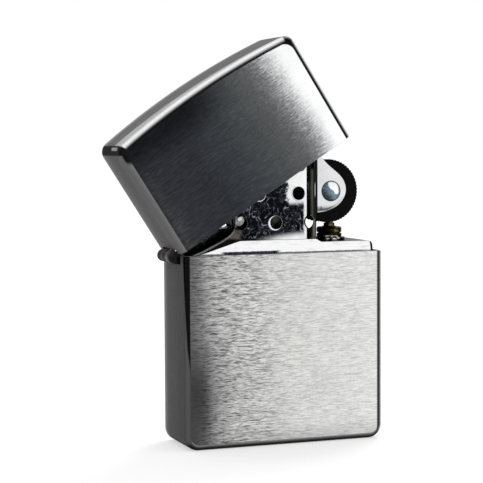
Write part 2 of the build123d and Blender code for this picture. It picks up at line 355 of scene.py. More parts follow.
def brush_marks(mat, point, x, y, z):
    """Short dashes across the width, bent a little by a slow noise, with finer marks and pits."""
    bend = point.noise(detail=2.0, stretch=(0.28, 0.1, 0.35))
    bent = mat.combine(x, y, bend.times(0.65, plus=z))
    return SimpleNamespace(
        dash=bent.noise(rough=0.60, warp=0.06, stretch=(0.46, 0.2, 4.5)),
        thin=bent.noise(detail=2.0, rough=0.55, warp=0.08, stretch=(0.85, 0.3, 7.0),
                        shift=(11, 4, 3)),
        fine=bent.noise(rough=0.6, warp=0.2, stretch=(1.5, 0.4, 8.0), shift=(3, 1, 7)),
        slow=bent.noise(rough=0.55, stretch=(0.10, 0.05, 0.30), shift=(9, 4, 2)),
        pit=point.noise(rough=0.65, stretch=(2.6, 2.6, 2.6), shift=(5, 2, 1)))


def brush_streaks(marks, gate, dark, light, fine, pit, slow):
    """Brightness of the brushing; `gate` is its local strength, the rest weigh each kind of mark."""
    dark_marks = marks.dash.fade(0.50, 0.66).max(marks.thin.fade(0.50, 0.64) * 0.8)
    light_marks = marks.dash.fade(0.48, 0.34).max(marks.thin.fade(0.44, 0.32))
    streak = (dark_marks * gate).times(-dark, plus=1.0)
    streak = streak + (light_marks * gate) * light
    streak = streak * ((marks.fine - 0.5) * gate).times(fine, plus=1.0)
    streak = streak * ((marks.pit - 0.5) * gate).times(pit, plus=1.0)
    return streak * (marks.slow - 0.5).times(slow, plus=1.0)


def brushed_surface(mat, marks, color, **glow):
    return mat.surface(color, rough=marks.fine.times(0.12, plus=0.2),
                       height=marks.dash * 0.6 + marks.fine * 0.4, bump=0.22, depth=0.06, **glow)


def lid_brushed():
    mat = Material("lid_brushed")
    point = shut_lid_point(mat.source("ShaderNodeTexCoord", "Object"))
    x, y, z = point.split()
    marks = brush_marks(mat, point, x, y, z)

    # painted reflection: dark at the hinge side, white at the far side, with a ragged change between
    ragged = (marks.fine - 0.5) * 6.0 + ((marks.pit - 0.5) * 2.5 + (marks.dash - 0.5) * 7.0)
    ragged = ragged * (x.fade(2.0, 8.0, to=(0.2, 1.0)) * x.fade(17.0, 13.0, to=(0.35, 1.0)))
    edge = (x + ragged) + z.linear(38.0, 55.0, to=(-0.9, 1.0))
    tone = across_width(edge, [
        (0.0, (.064, .066, .070)), (0.05, (.042, .044, .048)), (0.10, (.034, .036, .042)),
        (0.30, (.031, .034, .041)), (0.48, (.052, .057, .063)), (0.62, (.078, .084, .088)),
        (0.735, (.118, .123, .127)), (0.80, (.24, .245, .25)), (0.855, (.62, .625, .63)),
        (0.91, (.97, .975, .98)), (1.0, 1)])
    gate = across_width(x, [(0.0, .75), (0.5, .55), (0.75, .5), (0.85, .25), (0.92, .06), (1.0, .03)])
    # darker towards the top at the hinge side, and along the hinge edge
    top_shade = z.fade(48.5, 55.3, to=(0.0, 0.86)) * x.fade(7.0, -5.0)
    tone = mat.mix(top_shade, tone, (.006, .007, .009))
    tone = mat.mix(x.fade(-16.9, -17.9, to=(0, 0.45)), tone, (.012, .013, .015))
    streak = brush_streaks(marks, gate, dark=0.42, light=0.55, fine=0.60, pit=0.5, slow=0.30)
    color = mat.tint(tone, streak)

    # painted dark reflection in a thin border where the flat face starts to turn
    top = (HEIGHT - EDGE_R) - (x * x) * (1 / (2 * CROWN_R))
    past_x = (x - (WIDTH / 2 - EDGE_R - CORNER_R)).max(0.0)
    past_z = (top.times(-1.0, plus=z) - (-CORNER_R)).max(0.0)
    distance = length(past_x, past_z)
    border = (distance - (past_x / distance.max(0.01)) * 0.25).fade(1.62, 1.80)
    color = mat.mix(border, color, (.007, .007, .008))
    # the end away from the hinge is washed out by the light
    wash = x.fade(12.0, 16.5, to=(0, 0.16)) * (1.0 - border)
    return brushed_surface(mat, marks, color, glow=color, glow_strength=wash)


def case_brushed():
    mat = Material("case_brushed")
    point = mat.millimetres()
    x, y, z = point.split()
    marks = brush_marks(mat, point, x, y, z)

    # painted reflection: the dark margin at the hinge side is wider towards the bottom
    edge = x + (marks.dash - 0.5) * 2.6
    edge = edge - z.fade(27.0, 9.0, to=(0.0, 2.5)) * z.fade(0.5, 7.0, to=(0.7, 1.0))
    tone = across_width(edge, [
        (0.0, .11), (0.04, .165), (0.07, .23), (0.11, .38), (0.18, (.53, .53, .525)),
        (0.32, (.63, .63, .62)), (0.50, (.72, .72, .70)), (0.80, (.78, .78, .765)),
        (0.94, (.82, .82, .815)), (1.0, .74)])
    gate = across_width(x, [(0.0, 1.0), (0.08, 1.38), (0.32, 1.28), (0.47, .64), (0.66, .42),
                            (0.85, .46), (1.0, .36)])
    gate = gate * (1.0 - x.fade(-15.0, -16.6, to=(0, 0.65)) * z.fade(20.0, 14.0))
    streak = brush_streaks(marks, gate, dark=0.60, light=0.30, fine=0.80, pit=0.3, slow=0.16)

    # the lower corner by the hinge sits in shadow, and the lowest part is darker
    corner = x.fade(-13.5, -16.0, to=(0, 0.5)) * z.fade(19.0, 11.0)
    streak = streak * (1.0 - corner * z.fade(0.0, 8.0, to=(0.45, 1.0)))
    streak = streak * z.fade(0.5, 5.0, to=(0.74, 1.0))
    # upright scuffs in the lower half, towards the far side
    scuff = point.noise(detail=2.0, warp=0.6, stretch=(1.5, 0.3, 0.16), shift=(2, 8, 5))
    scuff = abs(scuff - 0.5).fade(0.0, 0.020, to=(1.0, 0.0))
    zone = (x.fade(2.0, 6.0) * x.fade(15.5, 12.5)) * (z.fade(26.0, 19.0) * z.fade(1.5, 4.0))
    streak = streak * (scuff * zone).times(-0.10, plus=1.0)
    color = mat.tint(tone, streak)

    # painted shade in a thin border where the flat face starts to turn
    border = x.fade(17.80, 17.98).max(z.fade(1.12, 1.0, to=(0, 0.6)))
    color = mat.mix(border * 0.85, color, (.02, .02, .021))
    return brushed_surface(mat, marks, color)


# ---------------------------------------------------------------- case and lid: narrow sides
def grey_level(level):
    """Linear grey of an 8-bit sRGB level."""
    level = level / 255
    return level / 12.92 if level <= 0.04045 else ((level + 0.055) / 1.055) ** 2.4


SIDE_FLAT = DEPTH / 2 - EDGE_R     # the side is flat to this distance from the middle plane
TURN_SPAN = 1.6                    # the rounding counts as this much further
SIDE_END = SIDE_FLAT + TURN_SPAN   # -7 is the rear face and 7 the front face

# Reflections along the sides: (place from -7 rear to 7 front, 8-bit grey level)
FAR_START = [(-7, 120), (-5, 150), (-2, 128), (2, 118), (5.0, 140), (5.6, 205), (6.1, 215),
             (6.29, 190)]
LID_FAR = FAR_START + [(6.47, 120), (6.64, 22), (6.8, 12), (6.93, 16), (7.0, 20)]
LID_HINGE = [(-7, 130), (-4.6, 135), (-4, 116), (-2, 106), (0, 97), (2, 95), (4, 102), (5.4, 104),
             (6.4, 102), (6.65, 108), (6.85, 112), (7.0, 96)]
LID_TOP_REAR = [(-7, 150), (-5.0, 165), (-4, 146), (-3, 114), (-2, 119), (1, 117), (3, 119),
                (6, 116)]
LID_TOP_FRONT = [(0, 185), (3.5, 197), (5.4, 207), (5.8, 206), (5.95, 216), (6.1, 237),
                 (6.28, 252), (6.45, 249), (6.62, 200), (6.8, 106), (6.92, 56), (7.0, 40)]
LID_FAR_CORNER = [(-7, 120), (0, 116), (5.0, 112), (5.8, 112), (6.05, 130), (6.25, 95),
                  (6.45, 40), (6.65, 14), (7.0, 10)]
CASE_FAR = FAR_START + [(6.47, 143), (6.64, 84), (6.8, 34), (6.93, 30), (7.0, 34)]
CASE_HINGE = [(-7, 150), (-4.8, 140), (-4, 105), (-3, 95), (-2, 91), (0, 89), (2, 84), (4, 80),
              (6, 82), (6.5, 86), (6.8, 80), (7.0, 62)]
CASE_BOTTOM = [(-7, 60), (-2, 40), (5.4, 30), (6.3, 36), (6.47, 46), (6.64, 68), (6.8, 92),
               (6.93, 130), (7.0, 140)]


def band_place(mat, point, normal):
    """Place round the band: coordinates, outward direction seen from the front, and turn."""
    x, y, z = point.split()
    normal_x, normal_y, normal_z = normal.split()
    run = length(normal_x, normal_z).max(0.002)
    out_x, out_z = normal_x / run, normal_z / run
    # degrees that the surface turns to the front
    turn = (normal_y * -1.0).max(-1.0).min(1.0).math("ARCSINE").math("DEGREES")
    flat = (y * -1.0).max(-SIDE_FLAT).min(SIDE_FLAT)
    place = turn.times(TURN_SPAN / 90, plus=flat)

    def tone(levels):
        stops = [((at + 7) / 14, grey_level(level)) for at, level in levels]
        return place.linear(-7.0, 7.0).ramp(stops)

    return SimpleNamespace(x=x, z=z, out_x=out_x, out_z=out_z, turn=turn, place=place, tone=tone)


def lid_band_color(mat, band):
    out_x, out_z, place = band.out_x, band.out_z, band.place
    # on top, a bright strip at the front that narrows away from the hinge
    strip_start = band.x.times(0.105, plus=3.7)
    lit = (place - strip_start).fade(-0.6, 0.55)
    top = mat.mix(lit, band.tone(LID_TOP_REAR), band.tone(LID_TOP_FRONT))
    sides = mat.mix(out_x.fade(-0.3, 0.3), band.tone(LID_HINGE), band.tone(LID_FAR))
    color = mat.mix(out_z.fade(0.25, 0.55), sides, top)
    # at the far corner the light strip ends and grey wraps round
    far_corner = out_x.fade(0.10, 0.34) * out_z.fade(0.12, 0.34)
    color = mat.mix(far_corner, color, band.tone(LID_FAR_CORNER))
    # the corner near the hinge mirrors something dark, with a glint in it
    hinge_corner = out_x.fade(-0.985, -0.955) * out_x.fade(-0.34, -0.46)
    glint = out_x.fade(-0.80, -0.72) * (
        out_x.fade(-0.5, -0.6) * (place.fade(0.2, 1.2) * place.fade(4.6, 3.6)))
    dark = mat.mix(glint, (.004, .004, .005), (.42, .42, .43))
    color = mat.mix(hinge_corner, color, dark)
    # and so does the front rounding just below it
    slanted = band.z.times(5.0, plus=place * 3.0).fade(282.5, 287.5)
    below = slanted * (out_x.fade(-0.9, -0.98) * place.fade(5.9, 6.4))
    return mat.mix(below, color, (.002, .002, .003))


def case_band_color(mat, band):
    out_x, z = band.out_x, band.z
    sides = mat.mix(out_x.fade(-0.3, 0.3), band.tone(CASE_HINGE), band.tone(CASE_FAR))
    color = mat.mix(band.out_z.fade(-0.35, -0.75), sides, band.tone(CASE_BOTTOM))
    # dark reflection on the front rounding at the hinge side, tapering downwards
    limit = z.linear(34.0, 18.0, to=(8.0, 60.0)) + ((18.0 - z) * 7.5).max(0.0)
    dark = (band.turn - limit).fade(-6.0, 6.0) * out_x.fade(-0.3, -0.6)
    return mat.mix(dark, color, .0015)


def shell_band(name, is_lid):
    """Narrow sides and rounded edges: soft reflections laid along the length."""
    mat = Material(name)
    coords = mat.new("ShaderNodeTexCoord")
    point = Signal(mat, coords.outputs["Object"])
    normal = Signal(mat, coords.outputs["Normal"])
    if is_lid:
        point, normal = shut_lid_point(point), shut_lid(normal)
    else:
        point = point.mapped(scale=TO_MM)
    band = band_place(mat, point, normal)
    grain = point.noise(rough=0.6, stretch=(0.12, 3.2, 0.12))
    patch = point.noise(stretch=(0.3, 0.3, 0.3), shift=(3, 5, 9))
    color = lid_band_color(mat, band) if is_lid else case_band_color(mat, band)
    brightness = 1.07 if is_lid else 1.01
    vary = (grain - 0.5).times(0.07, plus=brightness) * (patch - 0.5).times(0.22, plus=1.0)
    return mat.surface(mat.tint(color, vary), metal=0.3, rough=grain.times(0.12, plus=0.22),
                       height=grain, bump=0.06, depth=0.03, specular=0.15)


# ---------------------------------------------------------------- other metals
def polished(name, color, rough, scratch, seed, wear):
    """Polished steel: `wear` darkens patches, `scratch` whitens curled lines."""
    mat = Material(name)
    point = mat.millimetres(shift=(seed, seed * 2, 0))
    patch = point.noise(scale=0.35, detail=4.0, rough=0.55)
    ripple = point.noise(scale=1.2, rough=0.6, warp=0.4, stretch=(0.5, 0.5, 5.0))
    curl = point.noise(scale=1.3, detail=2.0, rough=0.4, warp=1.5)
    lines = abs(curl - 0.5).fade(0.0, 0.012, to=(1.0, 0.0))
    tone = mat.mix(patch * wear, color, tuple(c * 0.72 for c in color))
    tone = mat.mix(lines * scratch, tone, 1.0)
    return mat.surface(tone, rough=patch.times(0.07, plus=rough),
                       height=ripple * 0.3 + lines * -0.3, bump=0.08, depth=0.03)


def inner_metal():
    """The bare inside of the case sheet: dull brownish grey, drawn marks along the height."""
    mat = Material("case_inside")
    point = mat.millimetres()
    drawn = point.noise(detail=4.0, rough=0.6, stretch=(2.2, 2.2, 0.12))
    patch = point.noise(scale=0.25)
    color = mat.mix(patch, (.30, .29, .27), (.16, .155, .15))
    return mat.surface(color, rough=drawn.times(0.2, plus=0.25), height=drawn, bump=0.2)


BEND_X = (4.5, 7.35)     # where the chimney sheet bends towards the wheel


def curled_scratches(point, x):
    """Curled lines, strong in some patches and faint in the others, none at the hinge end."""
    wide = point.noise(scale=0.50, detail=1.0, warp=0.9, shift=(1, 3, 8))
    wide = abs(wide - 0.5).fade(0.006, 0.030, to=(1.0, 0.0))
    tight = point.noise(scale=0.95, detail=1.0, warp=0.7, shift=(7, 1, 5))
    tight = abs(tight - 0.52).fade(0.004, 0.030, to=(1.0, 0.0))
    gate = point.noise(scale=0.7, detail=2.0, shift=(2, 6, 1)).fade(0.46, 0.58)
    lines = (wide * gate.times(0.85, plus=0.05)).max(tight * ((1.0 - gate) * 0.35))
    broken = point.noise(scale=1.3, detail=2.0, rough=0.6, shift=(8, 2, 4))
    return lines * (x.fade(-8.9, -7.6) * broken.fade(0.38, 0.66, to=(0.10, 1.0)))


def chimney_wall_color(mat, point, x, z, patch, mottle, lines):
    dark = mottle.ramp([(0.30, (.0020, .0022, .0032)), (0.52, (.0045, .005, .008)),
                        (0.64, (.013, .014, .020)), (0.80, (.05, .053, .066))])
    dark = mat.mix(lines * 0.8, dark, (.46, .48, .53))
    # painted reflection: bright beyond a ragged line by the upper hole, in the strip by the bend and
    # low down
    ragged = (point.noise(scale=0.9, detail=5.0, rough=0.75, warp=0.6) - 0.5) * 2.8
    upper = (x + ragged).fade(0.55, 1.15) * (z + ragged * 0.55).fade(42.8, 43.9)
    strip = (x + ragged * 0.35).fade(3.75, 4.15)
    lower = x.min(4.0).times(-0.10, plus=z).fade(38.3, 36.9) * (x + ragged).fade(-6.0, 1.0)
    bright = upper.max(strip.max(lower))
    color = mat.mix(bright, dark, patch.ramp([(0.3, (.80, .80, .81)), (0.7, .95)]))

    # the wing at the hinge end is painted dark as a reflection, with a painted highlight along its
    # rising edge
    color = mat.mix(x.fade(-9.0, -10.0) * 0.8, color, (.006, .005, .004))
    wing_edge = x.curve(-17.4, -9.15, low=34.0, span=6.0, points=[
        (0.0, 34.5), (0.194, 35.05), (0.424, 35.93), (0.697, 37.05), (0.879, 37.98),
        (0.97, 38.82), (1.0, 39.75)])
    lip = (wing_edge - z).fade(0.46, 0.30) * x.fade(-8.6, -9.0)
    edge_highlight_color = patch.ramp([(0.35, (.09, .09, .088)), (0.65, (.19, .185, .18))])
    color = mat.mix(lip, color, edge_highlight_color)
    # small slanted painted brownish highlight near the wing
    slanted = (x + z * -0.35).fade(-24.0, -22.9) * (x + z * -0.35).fade(-21.0, -21.9)
    slanted = slanted * (z.fade(37.0, 37.5) * z.fade(39.0, 38.5))
    return mat.mix(slanted * mottle.times(1.4, plus=-0.25, clamp=True), color, (.20, .17, .14))


def chimney_ear_color(mat, x, z, patch):
    """The ear that carries the wheel: pale, shaded below, with a thin dark line by its edge."""
    color = ((x - 6.9) * 0.03 + patch * 0.5).ramp([(0.1, (.66, .66, .68)), (0.5, (.84, .84, .85))])
    radius = length(x - 9.35, z - 45.55)
    shade = radius.fade(3.0, 3.9, to=(0, 0.55)) * z.fade(45.0, 42.8)
    color = mat.mix(shade, color, (.30, .33, .37))
    foot = z.fade(42.9, 42.1, to=(0, 0.8)) * z.fade(41.75, 41.9)
    color = mat.mix(foot, color, (.12, .14, .17))
    lower_edge = x.curve(7.35, 12.95, low=41.0, span=5.0, points=[
        (0.0, 41.55), (0.348, 41.85), (0.661, 42.6), (0.902, 43.9), (1.0, 45.5)])
    above = z - lower_edge
    line = abs(above - 0.32).fade(0.15, 0.07)
    wedge = above.over(0.3) * abs(x - 8.05).times(3.6, plus=above).fade(1.35, 1.15)
    line = (line * x.fade(9.0, 12.3, to=(1.0, 0.35))).max(wedge * 0.8)
    line = line * (x.fade(7.4, 7.55) * x.fade(12.7, 12.3))
    return mat.mix(line * 0.85, color, (.035, .038, .042))


def chimney_bend_glow(mat, x, z):
    """Dim reflections that run down the bend, with a short white one beside the rivet."""
    shifted = (x - z.fade(41.0, 40.0, to=(0, 0.42))).linear(*BEND_X)
    glow = shifted.ramp([
        (0.34, 0), (0.44, (.010, .010, .009)), (0.54, (.050, .052, .044)),
        (0.60, (.068, .070, .058)), (0.68, (.030, .031, .026)), (0.75, .002), (0.80, 0)])
    lower = z.fade(41.2, 40.2) * z.fade(36.9, 37.8, to=(0.3, 1))
    glow = mat.mix(lower, glow, mat.tint(glow, 1.9))
    share = x.linear(*BEND_X)
    short = (share.fade(0.79, 0.82) * share.fade(0.87, 0.84)) * (
        z.fade(44.2, 44.9) * z.fade(47.2, 46.4))
    return mat.mix(short, glow, (.42, .42, .41))


def chimney_metal():
    """Chimney: mirror sheet with painted reflections, dark with curled white scratches and bright
    towards the wheel.
    """
    mat = Material("chimney_sheet")
    point = mat.millimetres()
    x, y, z = point.split()
    patch = point.noise(scale=0.35, rough=0.6, warp=0.6)
    mottle = point.noise(scale=0.9, detail=4.0, rough=0.65, warp=1.2, shift=(4, 9, 2))
    lines = curled_scratches(point, x)
    color = chimney_wall_color(mat, point, x, z, patch, mottle, lines)

    ear = x.fade(6.5, 6.8)
    color = mat.mix(ear, color, chimney_ear_color(mat, x, z, patch))
    # the inside of the sheet is dull
    outer_wall = abs(y).over(4.95)
    inside = mat.mix(patch, (.010, .010, .011), .05)
    color = mat.mix(outer_wall.max(ear), inside, color)

    bend = x.fade(4.5, 4.7) * x.fade(7.42, 7.30)
    # painted reflections across the bend: a dim brownish stripe between dark bands
    bend_color = x.linear(*BEND_X).ramp([
        (0.0, .5), (0.08, .02), (0.32, .012), (0.42, (.20, .18, .15)), (0.55, (.11, .10, .085)),
        (0.66, .01), (0.80, .012), (0.90, .010), (1.0, .006)])
    color = mat.mix(bend, color, bend_color)
    # painted shade: a dark disc over the hole in the bend
    disc = length(x - 5.45, z - 40.0).fade(1.52, 1.40)
    color = mat.mix(disc, color, (.006, .006, .007))

    # the bend's reflections show only on the outer side of both walls
    normal_y = mat.source("ShaderNodeNewGeometry", "Normal").split()[1]
    outer_side = (normal_y * y).over(0.0)
    shown = (outer_side * bend) * z.fade(49.7, 49.0)
    glow = mat.mix(shown, 0, chimney_bend_glow(mat, x, z))
    return mat.surface(color, rough=lines.times(0.25, plus=0.12), height=mottle + lines, bump=0.10,
                       glow=glow)


def tank_metal():
    """Bright sheet with painted shade in dark lines just above the case edge."""
    mat = Material("tank_sheet")
    point = mat.millimetres()
    x, y, z = point.split()
    layers = point.noise(detail=4.0, rough=0.6, warp=0.4, stretch=(0.35, 0.35, 1.6))
    mottle = point.noise(scale=1.6, rough=0.6, warp=0.8)
    normal = mat.source("ShaderNodeNewGeometry", "Normal").split()
    face = layers.ramp([(0.30, (.72, .72, .73)), (0.45, .97), (0.8, 1)])
    uneven_z = z + (mottle - 0.5) * 0.25
    # painted shade of the case rim: a dark band near the hinge end and a thin line along the width
    gap = uneven_z.fade(35.08, 34.95) * (x.fade(-12.4, -11.2) * x.fade(-0.4, -1.6))
    line = uneven_z.fade(34.78, 34.66) * x.fade(17.0, 14.0, to=(0.35, 0.8))
    rim_shade_color = mottle.ramp([(0.35, (.006, .008, .014)), (0.65, (.05, .06, .08))])
    face = mat.mix(gap.max(line), face, rim_shade_color)
    # painted reflections: dark on the rounded edges, grey on the top
    edge_color = layers.ramp([(0.3, (.006, .006, .007)), (0.7, .02)])
    top_color = layers.ramp([(0.3, .03), (0.7, .10)])
    rest = mat.mix(normal[2].over(0.75), edge_color, top_color)
    color = mat.mix(abs(normal[1]).fade(0.90, 0.985), rest, face)
    return mat.surface(color, rough=mottle.times(0.15, plus=0.16), height=layers, bump=0.12,
                       depth=0.05)


def hinge_metal():
    """Dark chrome of the hinge with painted reflections that change along the barrel from knuckle to
    knuckle.
    """
    mat = Material("hinge_steel")
    point = mat.millimetres()
    x, y, z = point.split()
    wave = point.noise(detail=4.0, rough=0.6, warp=0.6, stretch=(1.0, 2.2, 1.0))
    grain = point.noise(scale=2.5, rough=0.6)
    along = (wave - 0.5).times(1.6, plus=y)
    color = along.linear(-4.5, 4.5).ramp([
        (0.0, .004), (0.13, .004), (0.20, .05), (0.30, (.34, .34, .35)), (0.40, .30),
        (0.47, (.02, .018, .015)), (0.55, (.10, .085, .065)), (0.66, (.20, .175, .14)),
        (0.74, (.06, .05, .04)), (0.82, (.10, .09, .075)), (0.92, .01), (1.0, .02)])
    # painted shade on the upper side of the barrel
    upper = z.fade(HINGE_Z - 0.25, HINGE_Z + 0.5) * 0.55
    color = mat.mix(upper, color, (.02, .019, .017))
    return mat.surface(color, metal=0.55, rough=grain.times(0.2, plus=0.14), height=grain,
                       bump=0.15, specular=0.3)


def striker_metal():
    """Blackened steel: nearly matte, grit and file dust, brighter worn tooth tips."""
    mat = Material("striker_black")
    point = mat.millimetres()
    grit = point.noise(scale=2.2, detail=6.0, rough=0.7)
    dust = point.noise(scale=9.0, rough=0.6)
    x, y, z = point.split()
    radius = length(x - WHEEL_X, z - WHEEL_Z)
    pointiness = mat.source("ShaderNodeNewGeometry", "Pointiness")
    tip = pointiness.fade(0.52, 0.62) * radius.fade(5.35, 5.55)
    color = grit.ramp([(0.3, (.001, .001, .0011)), (0.6, (.005, .005, .0052)),
                       (0.85, (.022, .0215, .021))])
    color = mat.mix(tip * 0.35, color, .07)
    return mat.surface(color, metal=0.35, rough=dust.times(0.25, plus=0.55), height=grit + dust,
                       bump=0.5, depth=0.06, specular=0.11)


# ---------------------------------------------------------------- brass
BRASS = [(0.3, (.06, .036, .010)), (0.50, (.26, .165, .045)), (0.66, (.52, .36, .12)),
         (0.8, (.95, .78, .42))]
DARK_BRASS = [(0.3, (.010, .007, .003)), (0.50, (.050, .034, .011)), (0.64, (.19, .13, .045)),
               (0.8, (.80, .62, .30))]


def shaded_brass_color(mat, mottle, x):
    """Dark brass with painted shade on the hinge side and painted light towards the far side."""
    light_across = x.linear(FLINT_X - 2.9, FLINT_X + 2.9).ramp([
        (0.0, .03), (0.36, .10), (0.50, .45), (0.66, 1.0), (0.85, .8), (1.0, 1.3)])
    return mat.tint(mottle.ramp(DARK_BRASS), light_across)


def plain_brass(mat, point, mottle):
    return mottle.ramp(BRASS)


def nut_brass(mat, point, mottle):
    """Dark brass with painted glints on the lower part and a painted gold highlight on the rim above.
    """
    x, y, z = point.split()
    color = shaded_brass_color(mat, mottle, x)
    glint = point.noise(detail=2.0, stretch=(1.6, 0.4, 2.4), shift=(6, 0, 2)).fade(0.46, 0.54)
    glint = glint * (x.fade(9.2, 9.8) * x.fade(12.4, 11.8))
    lower_color = mat.mix(glint, (.022, .018, .012), (.93, .92, .88))
    color = mat.mix(z.fade(37.30, 37.15), color, lower_color)
    # painted gold highlight along the rim
    rim = z.fade(37.78, 37.9) * z.fade(38.35, 38.2)
    rim = (rim * x.fade(FLINT_X - 0.8, FLINT_X + 1.2)) * mottle.fade(0.42, 0.6, to=(0.05, 0.6))
    return mat.mix(rim, color, (.55, .42, .18))


def neck_brass(mat, point, mottle):
    """Dark brass with a painted lit stripe down the middle of the neck."""
    x, y, z = point.split()
    color = shaded_brass_color(mat, mottle, x)
    stripe = x.fade(FLINT_X - 0.55, FLINT_X - 0.25) * x.fade(FLINT_X + 0.5, FLINT_X + 0.2)
    lit = stripe * z.fade(38.8, 38.95)
    return mat.mix(lit * 0.85, color, (.62, .46, .25))


def brass(name, color_of=plain_brass):
    """Turned brass with fine rings across the height."""
    mat = Material(name)
    point = mat.millimetres()
    rings = point.noise(detail=2.0, stretch=(0.15, 0.15, 14.0))
    mottle = point.noise(scale=1.6, detail=4.0, rough=0.6)
    return mat.surface(color_of(mat, point, mottle), rough=rings.times(0.2, plus=0.16),
                       height=rings, bump=0.25)


# ---------------------------------------------------------------- rivet heads
def rivet_place(mat, centre_x, centre_z):
    """Offsets from the centre of the head, the radius there, and a mottle."""
    point = mat.millimetres()
    x, y, z = point.split()
    off_x, off_z = x - centre_x, z - centre_z
    mottle = point.noise(scale=1.6, detail=4.0, rough=0.6, warp=1.2)
    return off_x, off_z, length(off_x, off_z), mottle


def rivet_color(mat, highlight, base, radius, size):
    """White highlight over the base, and painted shade at the dark edge."""
    color = mat.mix(highlight, base, 1.0)
    return mat.mix(radius.fade(0.84 * size, 0.97 * size), color, (.035, .05, .06))


RIVET_FINISH = dict(metal=0.45, rough=0.28, bump=0.10, specular=0.2)


def wheel_rivet_metal():
    """Polished head with a cold tint and a window-like highlight with a slanted lower edge."""
    mat = Material("rivet_polished")
    size = WHEEL_RIVET_R
    off_x, off_z, radius, mottle = rivet_place(mat, WHEEL_X, WHEEL_Z)
    across = off_x * (0.68 / size) + off_z * (0.73 / size)
    across = across + (mottle - 0.5) * 0.35
    highlight = across.fade(0.02, 0.16) * (
        radius.fade(0.93 * size, 0.82 * size) * off_z.fade(-0.38 * size, -0.15 * size))
    highlight = highlight * (off_x.fade(0.80 * size, 0.52 * size, to=(0.25, 1))
                             * off_x.fade(-0.42 * size, -0.24 * size))
    base = mottle.ramp([(0.3, (.07, .11, .14)), (0.6, (.17, .235, .28)), (0.8, (.38, .46, .51))])
    shade = (across.fade(-0.95, 0.15, to=(0.12, 1.5))
             * off_x.fade(0.5 * size, 0.95 * size, to=(1.0, 0.35)))
    color = rivet_color(mat, highlight, mat.tint(base, shade), radius, size)
    glow = mat.mix(highlight, 0, (.34, .35, .35))
    return mat.surface(color, height=mottle, glow=glow, **RIVET_FINISH)


def cam_pin_metal():
    """Polished head with a soft round highlight above its centre, and a faint painted glow over the
    whole head.
    """
    mat = Material("cam_pin_polished")
    size = CAM_PIN_R
    off_x, off_z, radius, mottle = rivet_place(mat, CAM_PIN_X, CAM_PIN_Z)
    spot = length(off_x - 0.10 * size, off_z - 0.42 * size) + (mottle - 0.5) * (0.7 * size)
    highlight = spot.fade(0.58 * size, 0.24 * size)
    base = mottle.ramp([(0.35, .16), (0.65, (.55, .56, .56))])
    color = rivet_color(mat, highlight, base, radius, size)
    return mat.surface(color, height=mottle, glow=color, glow_strength=0.55, **RIVET_FINISH)


# ---------------------------------------------------------------- flint and fibres
def flint_material():
    mat = Material("flint_rod")
    grit = mat.millimetres().noise(scale=3.5, detail=5.0, rough=0.7)
    color = grit.ramp([(0.3, (.05, .047, .043)), (0.7, (.16, .15, .14))])
    return mat.surface(color, metal=0.7, rough=grit.times(0.3, plus=0.45), height=grit, bump=0.5,
                       depth=0.06)


def fibre(name, light, dark, noise_scale, stretch=(1, 1, 1), sheen=0.6, bump=0.6, shade_and_char=False):
    mat = Material(name)
    point = mat.millimetres().mapped(scale=stretch)
    tufts = point.noise(scale=noise_scale, detail=6.0, rough=0.7, warp=1.0)
    threads = point.noise(scale=noise_scale * 5, detail=4.0, rough=0.7, warp=2.0)
    color = mat.mix(tufts, light, dark)
    if shade_and_char:
        # painted shade on a band low in the chimney, and a charred black tip
        height = tufts.times(2.5, plus=mat.millimetres().split()[2])
        shade_and_char_mask = (height.fade(37.0, 39.0) * height.fade(44.5, 43.0)).max(
            height.fade(46.0, 48.0, to=(0, 0.9)))
        color = mat.mix(shade_and_char_mask, color, (.02, .018, .016))
    return mat.surface(color, metal=0.0, rough=0.9, height=tufts + threads, bump=bump, depth=0.12,
                       sheen=sheen)


CASE_FACE = case_brushed()
LID_FACE = lid_brushed()
CASE_BAND = shell_band("case_band", is_lid=False)
LID_BAND = shell_band("lid_band", is_lid=True)
INSIDE = inner_metal()
CHIMNEY = chimney_metal()
TANK = tank_metal()
HINGE = hinge_metal()
STRIKER = striker_metal()
TURNED_BRASS = brass("brass_turned")
NUT = brass("brass_nut", nut_brass)
NECK = brass("brass_neck", neck_brass)
WHEEL_RIVET = wheel_rivet_metal()
CAM_PIN = cam_pin_metal()
FLINT = flint_material()
SPRING = polished("spring_steel", color=(.45, .45, .46), rough=0.2, scratch=0.1, seed=9.0, wear=0.5)
CAM = polished("cam_steel", color=(.035, .036, .04), rough=0.14, scratch=0.25, seed=6.0, wear=0.4)
WICK = fibre("wick_cotton", light=(.80, .76, .66), dark=(.55, .50, .42), noise_scale=2.0, shade_and_char=True)
FELT = fibre("felt_pressed", light=(.74, .73, .69), dark=(.52, .51, .48), noise_scale=1.6,
             sheen=0.8)
COTTON = fibre("packing_fibre", light=(.90, .89, .86), dark=(.72, .71, .68), noise_scale=1.0,
               stretch=(1, 0.6, 1.6), sheen=0.8, bump=0.9)
COPPER = brass("copper_strand")


# ---------------------------------------------------------------- case and lid shells
# Outlines seen from the front, as (point, outward normal) pairs of (x, z).
SIDE_STEPS = 4
CORNER_STEPS = 18
CROWN_STEPS = 36


def arc(centre_x, centre_z, radius, start, end, steps=CORNER_STEPS):
    outline = []
    for i in range(steps + 1):
        angle = math.radians(start + (end - start) * i / steps)
        c, s = math.cos(angle), math.sin(angle)
        outline.append(((centre_x + radius * c, centre_z + radius * s), (c, s)))
    return outline


